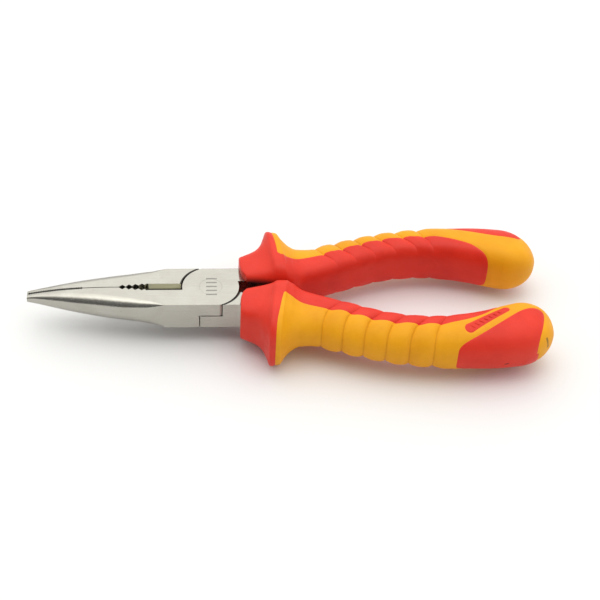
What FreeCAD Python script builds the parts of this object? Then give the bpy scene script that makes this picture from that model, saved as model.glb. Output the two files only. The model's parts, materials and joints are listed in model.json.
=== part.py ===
import FreeCAD, Part
import math, os
from FreeCAD import Vector as V

# Insulated needle nose pliers, 160 mm, lap joint.
# Working axes while modelling: X along the tool with the pivot at X = 0, tips at -X,
# handles at +X; Y across the jaws; Z is the pivot axis, Z = 0 the mid plane of the lap.
# Every handle and every steel half is modelled once, for the half whose handle lies at
# +Y, and the other half is the same shape turned 180 degrees about the X axis.

# ------------------------------------------------------------------ driving sizes (mm)
TIP_X = -56.0            # nose tip
TAIL_X = 104.0           # end of the handles: 160 mm overall
HEAD_W = 16.55           # width of the joint head
HEAD_T = 9.34            # thickness of the joint head
JAW_GAP = 0.26           # gap between the closed jaw faces
LAP_GAP = 0.12           # gap between the two lap faces
DISC_R = 8.70            # round cheek of each half
SCOOP_RX, SCOOP_RY = 9.25, 8.95     # recess the other half's cheek turns in, wider along the tool
CROTCH_Y = 2.35          # half gap between the tangs behind the joint
RIVET_D = 5.00           # pivot pin
RIVET_HEAD_D = 7.00      # countersunk head
RIVET_CSK = 1.30         # countersink depth
RUN_CLEAR = 0.03         # radial running clearance of the pin in the turning half
CUT_X0, CUT_X1 = -19.2, -8.6   # side cutter
CUT_B = 1.43             # width of each cutter bevel at the faces
SKIN = 1.8               # thickness of the over-moulded outer layer
TANG_END = 86.0

os.makedirs("parts", exist_ok=True)


# ------------------------------------------------------------------------ small helpers
def pchip(xs, ys):
    """Monotone cubic through the points: no overshoot between stations."""
    n = len(xs)
    h = [xs[i + 1] - xs[i] for i in range(n - 1)]
    d = [(ys[i + 1] - ys[i]) / h[i] for i in range(n - 1)]
    m = [0.0] * n
    for i in range(1, n - 1):
        if d[i - 1] * d[i] > 0:
            w1, w2 = 2 * h[i] + h[i - 1], h[i] + 2 * h[i - 1]
            m[i] = (w1 + w2) / (w1 / d[i - 1] + w2 / d[i])
    m[0], m[-1] = d[0], d[-1]

    def f(x):
        i = 0
        while i < n - 2 and x > xs[i + 1]:
            i += 1
        t = (x - xs[i]) / h[i]
        return ((2 * t ** 3 - 3 * t ** 2 + 1) * ys[i] + (t ** 3 - 2 * t ** 2 + t) * h[i] * m[i]
                + (-2 * t ** 3 + 3 * t ** 2) * ys[i + 1] + (t ** 3 - t ** 2) * h[i] * m[i + 1])

    f.end_slope = m[-1]
    return f


def lin(xs, ys):
    def f(x):
        if x <= xs[0]:
            return ys[0]
        for i in range(len(xs) - 1):
            if x <= xs[i + 1]:
                return ys[i] + (ys[i + 1] - ys[i]) * (x - xs[i]) / (xs[i + 1] - xs[i])
        return ys[-1]
    return f


def poly_prism(pts, z0, z1):
    w = Part.makePolygon([V(x, y, z0) for x, y in pts] + [V(pts[0][0], pts[0][1], z0)])
    return Part.Face(w).extrude(V(0, 0, z1 - z0))


def spline_prism(side_a, side_b, z0, z1):
    """Prism whose outline is two smooth curves joined by straight ends."""
    a = Part.BSplineCurve()
    a.interpolate([V(x, y, z0) for x, y in side_a])
    b = Part.BSplineCurve()
    b.interpolate([V(x, y, z0) for x, y in side_b])
    pa0, pa1 = V(side_a[0][0], side_a[0][1], z0), V(side_a[-1][0], side_a[-1][1], z0)
    pb0, pb1 = V(side_b[0][0], side_b[0][1], z0), V(side_b[-1][0], side_b[-1][1], z0)
    w = Part.Wire([a.toShape(), Part.makeLine(pa1, pb1), b.toShape(), Part.makeLine(pb0, pa0)])
    return Part.Face(w).extrude(V(0, 0, z1 - z0))


def turned(shape):
    """The same piece of the other half: half a turn about the long axis."""
    s = shape.copy()
    s.rotate(V(0, 0, 0), V(1, 0, 0), 180)
    return s


def one_solid(shape, what):
    s = shape
    if shape.ShapeType != "Solid":
        try:
            s = shape.removeSplitter()
        except Part.OCCError:
            print(what, "keeps its split faces")
    sol = sorted(s.Solids, key=lambda q: -q.Volume)
    if not sol:
        raise RuntimeError(what + ": no solid")
    if len(sol) > 1 and sol[1].Volume > 0.02 * sol[0].Volume:
        print(what, "has", len(sol), "solids", [round(q.Volume, 2) for q in sol])
    return sol[0]


HT = HEAD_T / 2
HW = HEAD_W / 2
G = JAW_GAP / 2
LG = LAP_GAP / 2

# --------------------------------------------------------------------------- steel half
# Nose sections: half width w, top and bottom height, radius of the ground outer edge above and below.
# The nose is ground thinner from below towards the tip.
NOSE = [(-56.0, 1.70, 1.95, 0.05, 0.70, 0.70), (-53.4, 2.10, 2.55, 0.55, 1.00, 1.00), (-49.1, 3.05, 3.30, 1.40, 1.80, 1.70),
        (-44.8, 4.05, 3.88, 2.25, 2.40, 2.40), (-41.1, 4.85, 4.22, 2.85, 2.75, 2.90), (-36.8, 5.65, 4.50, 3.45, 2.95, 3.30),
        (-32.5, 6.40, 4.64, 3.95, 3.00, 3.60), (-28.2, 7.15, HT, 4.20, 2.95, 3.80), (-25.0, 7.55, HT, 4.35, 2.75, 3.80),
        (-20.9, 7.98, HT, 4.50, 2.20, 3.40), (-17.8, 8.15, HT, 4.58, 1.60, 2.50), (-15.6, 8.23, HT, 4.64, 0.70, 1.50),
        (-14.2, HW - 0.01, HT, HT, 0.12, 0.30)]


def nose_wire(x, w, zt, zb, rt, rb):
    kt, kb = rt * (1 - math.sqrt(0.5)), rb * (1 - math.sqrt(0.5))
    p = [V(x, -G, -zb), V(x, -(w - rb), -zb), V(x, -w, -(zb - rb)), V(x, -w, zt - rt), V(x, -(w - rt), zt), V(x, -G, zt)]
    m1 = V(x, -(w - kb), -(zb - kb))
    m2 = V(x, -(w - kt), zt - kt)
    return Part.Wire([Part.makeLine(p[0], p[1]), Part.Arc(p[1], m1, p[2]).toShape(), Part.makeLine(p[2], p[3]),
                      Part.Arc(p[3], m2, p[4]).toShape(), Part.makeLine(p[4], p[5]), Part.makeLine(p[5], p[0])])


nose = Part.makeLoft([nose_wire(*q) for q in NOSE], True, False)
# the same nose for the half that is made upside down
nose_under = Part.makeLoft([nose_wire(q[0], q[1], q[3], q[2], q[5], q[4]) for q in NOSE], True, False)

# Jaw root and the joint cheeks. Upper layer (Z > LG) carries this half's round cheek,
# the lower layer is scooped out for the other half's cheek.
disc = Part.makeCylinder(DISC_R, HT - LG, V(0, 0, LG))
scoop = Part.Face(Part.Wire([Part.Ellipse(V(0, 0, -HT - 1), SCOOP_RX, SCOOP_RY).toShape()])).extrude(V(0, 0, HT + 1 + LG))
root_pts = [(NOSE[-1][0], -G), (NOSE[-1][0], -HW), (0.0, -HW), (0.0, -G)]
root = poly_prism(root_pts, -HT, HT)

# Tang: leaves the joint at full thickness and thins out inside the handle.
tang_in = [(8.0, CROTCH_Y), (10.5, 2.9), (13.5, 3.9), (18.0, 4.9), (24.0, 5.6), (30.0, 6.9), (38.0, 10.0),
           (47.0, 13.6), (56.0, 16.6), (65.0, 18.0), (75.0, 18.0), (TANG_END, 16.6)]
tang_out = [(8.0, HW), (10.5, 8.75), (13.5, 9.9), (18.0, 11.7), (24.0, 13.2), (30.0, 14.4), (38.0, 16.9),
            (47.0, 20.0), (56.0, 22.6), (65.0, 23.9), (75.0, 23.9), (TANG_END, 22.0)]
tang = spline_prism(tang_in, tang_out, -HT - 1, HT + 1)
taper = Part.Face(Part.makePolygon([V(7, -5, -HT), V(8.7, -5, -HT), V(14, -5, -3.9), (V(24, -5, -3.3)), V(TANG_END + 1, -5, -2.5),
                                    V(TANG_END + 1, -5, 2.5), V(24, -5, 3.3), V(14, -5, 3.9), V(8.7, -5, HT), V(7, -5, HT),
                                    V(7, -5, -HT)])).extrude(V(0, 45, 0))
tang = tang.common(taper)
link = poly_prism([(0.0, CROTCH_Y), (0.0, HW), (8.6, HW), (8.6, CROTCH_Y)], -HT, HT)

cheek = disc.common(Part.makeBox(60, HEAD_W, HEAD_T, V(-30, -HW, -HT)))

# Pivot bore (press fit in this half) and its countersink in the outer face.
bore = Part.makeCylinder(RIVET_D / 2, 20, V(0, 0, -10))
csk = Part.makeCone(RIVET_D / 2, RIVET_HEAD_D / 2, RIVET_CSK, V(0, 0, HT - RIVET_CSK))

# Fine cross teeth at the tip and the pipe-grip notches, as one outline cut from the jaw face.
prof = [(TIP_X - 1, 1.0), (TIP_X - 1, -G)]
x = TIP_X + 0.35
while x < -39.6:
    prof += [(x, -G), (x + 0.36, -G - 0.42)]
    x += 0.72
prof += [(x, -G), (-28.0, -G), (-26.95, -1.0), (-25.95, -0.16), (-25.0, -1.15), (-24.0, -0.42), (-23.05, -1.35),
         (-22.05, -0.68), (-21.1, -1.52), (-20.2, -0.98), (-19.4, -1.62), (-18.6, -G), (-18.6, 1.0)]
teeth = poly_prism(prof, -HT - 1, HT + 1)


# Side cutter: a double bevel that leaves the edge on the middle plane.
k_out = CUT_B + (CUT_B - G) / HT
wedge = Part.Face(Part.makePolygon([V(CUT_X0, 0.5, HT + 1), V(CUT_X0, -k_out, HT + 1), V(CUT_X0, -G - 0.02, 0), V(CUT_X0, -k_out, -HT - 1),
                                    V(CUT_X0, 0.5, -HT - 1), V(CUT_X0, 0.5, HT + 1)])).extrude(V(CUT_X1 - CUT_X0, 0, 0))
wedge = wedge.cut(Part.makeCylinder(DISC_R, 2 * HT + 4, V(0, 0, -HT - 2)))


def steel_half(nose_part):
    st = nose_part.fuse([root, link, tang])
    return st.cut(scoop).fuse(cheek).cut(teeth).cut(wedge)


lower_steel = one_solid(steel_half(nose).cut(bore).cut(csk), "steel half")

turn_bore = Part.makeCylinder(RIVET_D / 2 + RUN_CLEAR, 20, V(0, 0, -10))
turn_csk = Part.makeCone(RIVET_D / 2 + RUN_CLEAR, RIVET_HEAD_D / 2 + RUN_CLEAR, RIVET_CSK, V(0, 0, HT - RIVET_CSK))
upper_steel = turned(one_solid(steel_half(nose_under).cut(turn_bore).cut(turn_csk), "steel half 2"))

rivet = Part.makeCylinder(RIVET_D / 2, HEAD_T, V(0, 0, -HT))
rivet = rivet.fuse(csk).fuse(Part.makeCone(RIVET_HEAD_D / 2, RIVET_D / 2, RIVET_CSK, V(0, 0, -HT)))
rivet = one_solid(rivet, "rivet")

# ------------------------------------------------------------------------------ handle
# Stations along X: inner edge, outer edge, half thickness of the handle's section.
# The guard is the crest near X = 18.
ST = [(8.8, 2.10, 13.20, 6.60), (10.5, 1.75, 14.20, 7.00), (12.5, 1.40, 15.30, 7.50), (14.5, 1.15, 16.90, 8.20),
      (16.3, 0.95, 20.60, 9.20), (17.6, 0.85, 23.70, 10.25), (18.4, 0.80, 24.10, 10.70), (20.6, 0.62, 23.70, 10.50),
      (21.4, 0.56, 22.40, 9.80), (22.6, 0.52, 20.90, 9.15), (24.5, 0.85, 19.45, 8.20), (27.0, 2.05, 18.70, 7.40),
      (30.0, 3.30, 18.75, 7.10), (34.0, 4.78, 19.80, 7.00), (40.0, 7.10, 21.95, 6.98), (47.0, 9.94, 24.20, 6.95),
      (54.0, 12.40, 26.00, 7.05), (61.0, 13.90, 27.10, 7.20), (68.0, 14.33, 27.80, 7.40), (75.0, 13.75, 28.20, 7.75),
      (82.0, 12.15, 28.30, 8.10), (88.0, 10.05, 27.95, 8.35), (92.5, 8.60, 27.30, 8.45)]
SX = [s[0] for s in ST]
f_in, f_out, f_b = (pchip(SX, [s[k] for s in ST]) for k in (1, 2, 3))
EX = [8.8, 18.5, 26, 40, 60, 82, 92.5]
e_in = lin(EX, [4.5, 4.2, 3.8, 3.5, 3.4, 2.9, 2.65])
e_out = lin(EX, [4.0, 3.0, 2.3, 2.1, 2.1, 2.3, 2.45])
CAP_X = SX[-1]


def section_at(x):
    """Inner edge, outer edge, half thickness at X, with the rounded tail past CAP_X."""
    if x <= CAP_X:
        return f_in(x), f_out(x), f_b(x)
    s = min(1.0, (x - CAP_X) / (TAIL_X - CAP_X))
    k = math.sqrt(max(0.0, 1 - s * s))
    e = [f(CAP_X) + f.end_slope * 0.6 * (x - CAP_X) for f in (f_in, f_out, f_b)]
    c = 0.5 * (e[0] + e[1])
    return c + (e[0] - c) * k, c + (e[1] - c) * k, e[2] * k


def ring(x, off=0.0, n=28, sec=None):
    """Closed section: flatter on the inner side, rounder on the palm side."""
    yi, yo, b = sec if sec else section_at(x)
    yi, yo, b = yi + off, yo - off, b - off
    ni, no = e_in(x), e_out(x)
    ym = yi + 0.42 * (yo - yi)
    pts = []
    for i in range(n):
        t = 2 * math.pi * (i + 0.5) / n
        c, s = math.cos(t), math.sin(t)
        m = no if c > 0 else ni
        a = (yo - ym) if c > 0 else (ym - yi)
        pts.append(V(x, ym + a * math.copysign(abs(c) ** (2 / m), c), b * math.copysign(abs(s) ** (2 / m), s)))
    bs = Part.BSplineCurve()
    bs.interpolate(pts, True)
    return Part.Wire([bs.toShape()])


xs = [8.8, 10.0, 11.5, 13.0, 14.5, 15.5, 16.4, 17.2, 18.0, 19.2, 20.4, 21.2, 22.0, 23.0, 24.5, 26.5, 29.0, 33.0, 38.0, 44.0,
      51.0, 58.0, 65.0, 72.0, 79.0, 85.0, 89.5, 92.5]
caps = [math.radians(a) for a in (15, 30, 44, 56, 66, 75, 82)]
k_end = math.sin(caps[-1])
cap_x = [CAP_X + (TAIL_X - CAP_X) * math.sin(a) / k_end for a in caps]


def cap_ring(i, off=0.0):
    a = caps[i]
    x = cap_x[i]
    k = math.cos(a)
    e = [f(CAP_X) + f.end_slope * 0.6 * (x - CAP_X) for f in (f_in, f_out, f_b)]
    c = 0.5 * (e[0] + e[1])
    return ring(x, 0.0, sec=(c + (e[0] - c) * k, c + (e[1] - c) * k, e[2] * k))


outer = Part.makeLoft([ring(x) for x in xs] + [cap_ring(i) for i in range(len(caps))], True, False)

# Slanted mouth of the collar: the inner side stands further back than the outer side.
mouth = poly_prism([(7.0, 1.0), (7.0, 14.5), (8.85, 14.5), (9.0, 8.0), (9.6, 5.0), (10.6, 2.9), (11.4, 0.2), (7.0, 0.2)], -12, 12)
outer = outer.cut(mouth)

# Inner body of the handle under the over-moulded layer; its front reaches into the hard guard,
# so that the tang touches hard plastic only.
inner_xs = [22.5, 24.5, 27.0, 31.0, 36.0, 42.0, 49.0, 56.0, 63.0, 70.0, 77.0, 84.0, 89.0, 93.0]
inner = Part.makeLoft([ring(x, SKIN) for x in inner_xs]
                      + [ring(x, 0.0, sec=(lambda q: (q[0] + SKIN + t * 1.6, q[1] - SKIN - t * 1.6, q[2] - SKIN - t * 1.6))(section_at(x - 2.2)))
                         for x, t in ((96.5, 0.15), (99.5, 0.5), (101.3, 1.1), (102.0, 1.9))], True, False)

inner = inner.fuse(Part.Face(ring(22.5, SKIN)).extrude(V(-4.3, 0, 0)))

# Hard red region: everything in front of the guard's rear edge, and the inner strip.
strip_edge = [(20.55, 9.0), (21.3, 8.55), (22.6, 8.2), (24.4, 8.5), (26.3, 9.15), (28.0, 9.8), (32.0, 11.1), (36.0, 12.5),
              (40.0, 13.95), (44.0, 15.5), (48.0, 17.1), (52.0, 18.3), (56.0, 19.1), (60.0, 19.65), (64.0, 20.0), (68.0, 20.1),
              (72.0, 19.7), (76.0, 18.8), (80.0, 17.3), (82.6, 15.95), (84.8, 14.2), (86.6, 12.5), (87.6, 11.0), (88.0, 9.7),
              (88.0, 6.0)]
se = Part.BSplineCurve()
se.interpolate([V(x, y, -15) for x, y in strip_edge])
red_w = Part.Wire([Part.makePolygon([V(88.0, 6.0, -15), V(88.0, -3, -15), V(5, -3, -15), V(5, 32, -15), V(18.0, 32, -15),
                                     V(18.45, 24.2, -15), V(20.55, 9.0, -15)]), se.toShape()])
red_zone = Part.Face(red_w).extrude(V(0, 0, 30))

# Tail pad on the palm side; it reaches further round on the badge face (Z < 0).
pad_a = poly_prism([(73.2, 31), (72.9, 28.0), (73.9, 26.9), (77.2, 25.4), (79.6, 24.3), (82.0, 23.0), (84.4, 21.5), (87.0, 19.8),
                    (89.6, 17.9), (92.1, 16.1), (94.7, 14.7), (97.4, 13.4), (99.5, 13.2), (100.6, 14.2), (100.8, 16.5),
                    (99.0, 21.4), (97.8, 24.2), (97.2, 26.0), (97.6, 31)], -15, 0.0)
pad_b = poly_prism([(73.2, 31), (72.9, 28.0), (75.5, 26.4), (78.7, 24.95), (83.9, 23.3), (89.7, 21.5), (93.4, 21.2), (96.6, 21.5),
                    (98.4, 21.9), (98.2, 23.4), (97.2, 26.0), (97.6, 31)], 0.0, 15)
pad_zone = pad_a.fuse(pad_b)

# Badge plate on one face of the grip: a slanted stadium, tapered to the tail.
ba, bb = V(76.75, 22.2, 0), V(88.55, 14.9, 0)
ra, rb = 1.75, 1.2
ux = (bb - ba).normalize()
uy = V(-ux.y, ux.x, 0)
bp = []
for i in range(13):
    t = math.pi / 2 + math.pi * i / 12
    bp.append((ba.x + ra * (ux.x * math.cos(t) + uy.x * math.sin(t)), ba.y + ra * (ux.y * math.cos(t) + uy.y * math.sin(t))))
for i in range(13):
    t = -math.pi / 2 + math.pi * i / 12
    bp.append((bb.x + rb * (ux.x * math.cos(t) + uy.x * math.sin(t)), bb.y + rb * (ux.y * math.cos(t) + uy.y * math.sin(t))))
badge_zone = poly_prism(bp, -15, -3)

red_skin = outer.common(red_zone)
core = red_skin.fuse(inner.common(outer))
core = core.cut(tang)
core = one_solid(core, "core")
skin = outer.cut(inner).cut(red_zone)
pad = one_solid(skin.common(pad_zone), "pad")
badge = one_solid(skin.common(badge_zone), "badge")
soft = one_solid(skin.cut(pad_zone).cut(badge_zone), "soft grip")

nodes = {
    "lower_jaw_half": lower_steel,
    "upper_jaw_half": upper_steel,
    "pivot_rivet": rivet,
    "upper_handle_core": core,
    "lower_handle_core": turned(core),
    "upper_handle_soft_grip": soft,
    "lower_handle_soft_grip": turned(soft),
    "upper_tail_inlay": pad,
    "lower_tail_inlay": turned(pad),
    "upper_badge_inlay": badge,
    "lower_badge_inlay": turned(badge),
}

# Own frame: origin under the middle of the tool, on the plane it lies on.
allb = Part.makeCompound(list(nodes.values())).optimalBoundingBox(False)
shift = V(-(allb.XMin + allb.XMax) / 2, -(allb.YMin + allb.YMax) / 2, -allb.ZMin)
print("box", [round(q, 3) for q in (allb.XMin, allb.XMax, allb.YMin, allb.YMax, allb.ZMin, allb.ZMax)], "shift", shift)
for name, s in nodes.items():
    t = s.copy()
    t.translate(shift)
    print("%-26s valid %s solids %d volume %.1f faces %d" % (name, t.isValid(), len(t.Solids), t.Volume, len(t.Faces)))
    t.exportStep("parts/%s.step" % name)
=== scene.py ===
import json
import math

import bmesh
import bpy
import numpy as np
from mathutils import Matrix, Vector


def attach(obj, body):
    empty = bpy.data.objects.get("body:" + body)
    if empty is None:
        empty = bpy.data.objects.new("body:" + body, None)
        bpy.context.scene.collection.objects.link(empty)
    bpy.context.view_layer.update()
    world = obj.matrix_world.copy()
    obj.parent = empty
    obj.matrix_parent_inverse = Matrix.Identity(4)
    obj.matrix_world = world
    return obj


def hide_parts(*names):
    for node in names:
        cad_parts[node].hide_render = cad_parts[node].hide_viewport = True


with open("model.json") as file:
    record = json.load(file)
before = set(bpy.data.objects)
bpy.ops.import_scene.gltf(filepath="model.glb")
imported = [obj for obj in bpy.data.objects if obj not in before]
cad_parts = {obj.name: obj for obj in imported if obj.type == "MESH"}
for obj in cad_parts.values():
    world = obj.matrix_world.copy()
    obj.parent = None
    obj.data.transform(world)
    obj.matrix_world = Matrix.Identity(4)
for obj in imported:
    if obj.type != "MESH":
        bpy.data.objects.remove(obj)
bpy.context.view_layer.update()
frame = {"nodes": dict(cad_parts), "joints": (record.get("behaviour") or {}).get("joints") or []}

nodes = frame["nodes"]
PIV = np.array(frame["joints"][0]["pos_m"], float)      # pivot, row frame, metres
scene = bpy.context.scene


def to_row(p):
    """Millimetres from the pivot to metres in the row frame."""
    return np.asarray(p, float) * 0.001 + PIV


# =============================================================== camera (it comes first)
AZ, EL, ROLL = -0.0817651472, 0.7405311481, 0.0488192748
DIST, FPX, CX, CY = 424.3592, 1369.1896, 284.9779, 297.2218
back = Vector((math.sin(AZ) * math.cos(EL), -math.cos(AZ) * math.cos(EL), math.sin(EL)))
right = (-back).cross(Vector((0, 0, 1))).normalized()
up = right.cross(-back)
r2 = right * math.cos(ROLL) + up * math.sin(ROLL)
u2 = -right * math.sin(ROLL) + up * math.cos(ROLL)
cam_data = bpy.data.cameras.new("camera")
cam_data.sensor_width = 36.0
cam_data.lens = FPX * 36.0 / 600.0
cam_data.shift_x = (300.0 - CX) / 600.0
cam_data.shift_y = (CY - 300.0) / 600.0
cam_data.clip_start, cam_data.clip_end = 0.01, 10.0
cam = bpy.data.objects.new("camera", cam_data)
scene.collection.objects.link(cam)
m = Matrix((r2, u2, back)).transposed().to_4x4()
m.translation = Vector(to_row(np.array([23.0, 0, 0]) + np.array(back) * DIST))
cam.matrix_world = m
scene.camera = cam


# ==================================================================== material helpers
def new_mat(name):
    mt = bpy.data.materials.new(name)
    mt.use_nodes = True
    nt = mt.node_tree
    nt.nodes.clear()
    out = nt.nodes.new("ShaderNodeOutputMaterial")
    bsdf = nt.nodes.new("ShaderNodeBsdfPrincipled")
    nt.links.new(bsdf.outputs[0], out.inputs[0])
    return mt, nt, bsdf


def node(nt, kind, **props):
    n = nt.nodes.new(kind)
    for k, v in props.items():
        setattr(n, k, v)
    return n


def obj_coords(nt, scale=(1, 1, 1), rot=(0, 0, 0)):
    tc = node(nt, "ShaderNodeTexCoord")
    mp = node(nt, "ShaderNodeMapping")
    mp.inputs["Scale"].default_value = scale
    mp.inputs["Rotation"].default_value = rot
    nt.links.new(tc.outputs["Object"], mp.inputs["Vector"])
    return mp.outputs[0]


def noise(nt, vec, scale, detail=3.0, rough=0.5, distortion=0.0):
    n = node(nt, "ShaderNodeTexNoise")
    n.inputs["Scale"].default_value = scale
    n.inputs["Detail"].default_value = detail
    n.inputs["Roughness"].default_value = rough
    n.inputs["Distortion"].default_value = distortion
    nt.links.new(vec, n.inputs["Vector"])
    return n.outputs["Fac"]


def ramp(nt, fac, stops, interp="LINEAR"):
    r = node(nt, "ShaderNodeValToRGB")
    r.color_ramp.interpolation = interp
    els = r.color_ramp.elements
    while len(els) < len(stops):
        els.new(0.5)
    for e, (p, c) in zip(els, stops):
        e.position = p
        e.color = (*c, 1.0) if len(c) == 3 else c
    nt.links.new(fac, r.inputs["Fac"])
    return r.outputs["Color"]


def maprange(nt, fac, a, b, c, d):
    r = node(nt, "ShaderNodeMapRange")
    r.inputs["From Min"].default_value = a
    r.inputs["From Max"].default_value = b
    r.inputs["To Min"].default_value = c
    r.inputs["To Max"].default_value = d
    nt.links.new(fac, r.inputs["Value"])
    return r.outputs[0]


def math_node(nt, op, a, b=None, clamp=False):
    n = node(nt, "ShaderNodeMath", operation=op, use_clamp=clamp)
    for i, v in enumerate((a, b)):
        if v is None:
            continue
        if isinstance(v, (int, float)):
            n.inputs[i].default_value = v
        else:
            nt.links.new(v, n.inputs[i])
    return n.outputs[0]


def mix_col(nt, fac, a, b, blend="MIX"):
    n = node(nt, "ShaderNodeMix", data_type="RGBA", blend_type=blend)
    if isinstance(fac, (int, float)):
        n.inputs["Factor"].default_value = fac
    else:
        nt.links.new(fac, n.inputs["Factor"])
    for i, v in ((6, a), (7, b)):
        if isinstance(v, tuple):
            n.inputs[i].default_value = (*v, 1.0)
        else:
            nt.links.new(v, n.inputs[i])
    return n.outputs[2]


def bump(nt, height, strength, dist, normal=None):
    b = node(nt, "ShaderNodeBump")
    b.inputs["Strength"].default_value = strength
    b.inputs["Distance"].default_value = dist
    nt.links.new(height, b.inputs["Height"])
    if normal is not None:
        nt.links.new(normal, b.inputs["Normal"])
    return b.outputs["Normal"]


def moulded(name, base, dark, light, rough=0.46, grain=5200.0, spec=0.35, marks=None, gap_shade=False):
    """Moulded plastic or elastomer: spark-eroded grain, faint flow and handling variation, painted shade in creases
    and, when asked, painted shade in the gap behind the joint.
    """
    mt, nt, bsdf = new_mat(name)
    v = obj_coords(nt)
    broad = noise(nt, v, 90.0, 4.0, 0.55, 0.3)
    col = ramp(nt, broad, [(0.25, dark), (0.5, base), (0.78, light)])
    fine = noise(nt, v, 1400.0, 3.0, 0.6)
    col = mix_col(nt, maprange(nt, fine, 0.35, 0.7, 0.0, 0.10), col, dark)
    geo = node(nt, "ShaderNodeNewGeometry")
    # painted shade: concave creases (low pointiness) are darkened towards a deep tone of the dark colour
    crease_shade = maprange(nt, geo.outputs["Pointiness"], 0.44, 0.497, 0.35, 0.0)
    col = mix_col(nt, crease_shade, col, tuple(c * 0.45 for c in dark))
    worn = maprange(nt, geo.outputs["Pointiness"], 0.515, 0.60, 0.0, 0.25)
    col = mix_col(nt, worn, col, light)
    if gap_shade:
        # painted shade: the narrow gap between the two sleeves behind the joint is painted near black, where little
        # light reaches
        gs = node(nt, "ShaderNodeSeparateXYZ")
        nt.links.new(v, gs.inputs[0])
        ox, oy, oz = to_row((0.0, 0.0, 0.0))
        ax = math_node(nt, "SUBTRACT", gs.outputs["X"], float(ox))
        ay = math_node(nt, "ABSOLUTE", math_node(nt, "SUBTRACT", gs.outputs["Y"], float(oy)))
        az = math_node(nt, "ABSOLUTE", math_node(nt, "SUBTRACT", gs.outputs["Z"], float(oz)))
        gap_shade_mask = math_node(nt, "MULTIPLY", maprange(nt, ay, 0.0018, 0.0030, 1.0, 0.0), maprange(nt, az, 0.0046, 0.0066, 1.0, 0.0))
        gap_shade_mask = math_node(nt, "MULTIPLY", gap_shade_mask, maprange(nt, ax, 0.018, 0.025, 0.96, 0.0))
        col = mix_col(nt, gap_shade_mask, col, (0.012, 0.008, 0.009))
    if marks:
        for (p, q, rad, tint, amount) in marks:
            col = streak(nt, v, col, p, q, rad, tint, amount)
    nt.links.new(col, bsdf.inputs["Base Color"])
    rn = noise(nt, v, 260.0, 4.0, 0.6)
    nt.links.new(maprange(nt, rn, 0.3, 0.7, rough - 0.05, rough + 0.06), bsdf.inputs["Roughness"])
    g1 = noise(nt, v, grain, 2.0, 0.5)
    n1 = bump(nt, g1, 0.16, 0.00006)
    g2 = noise(nt, v, 420.0, 3.0, 0.5)
    n2 = bump(nt, g2, 0.06, 0.0002, n1)
    nt.links.new(n2, bsdf.inputs["Normal"])
    bsdf.inputs["Specular IOR Level"].default_value = spec
    return mt


def streak(nt, v, col, p, q, rad, tint, amount):
    """A small scuff: a capsule from p to q with ragged edges, in row-frame metres."""
    p, q = Vector(p), Vector(q)
    d = q - p
    sub = node(nt, "ShaderNodeVectorMath", operation="SUBTRACT")
    nt.links.new(v, sub.inputs[0])
    sub.inputs[1].default_value = p
    dot = node(nt, "ShaderNodeVectorMath", operation="DOT_PRODUCT")
    nt.links.new(sub.outputs[0], dot.inputs[0])
    dot.inputs[1].default_value = d / d.length_squared
    t = math_node(nt, "MULTIPLY", dot.outputs["Value"], 1.0, clamp=True)
    sc = node(nt, "ShaderNodeVectorMath", operation="SCALE")
    sc.inputs[0].default_value = d
    nt.links.new(t, sc.inputs["Scale"])
    dd = node(nt, "ShaderNodeVectorMath", operation="DISTANCE")
    nt.links.new(sub.outputs[0], dd.inputs[0])
    nt.links.new(sc.outputs[0], dd.inputs[1])
    rag = noise(nt, v, 1500.0, 3.0, 0.7)
    r = math_node(nt, "MULTIPLY", dd.outputs["Value"], maprange(nt, rag, 0.3, 0.7, 0.6, 1.6))
    fac = maprange(nt, r, rad * 0.35, rad, amount, 0.0)
    return mix_col(nt, fac, col, tint)


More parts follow.
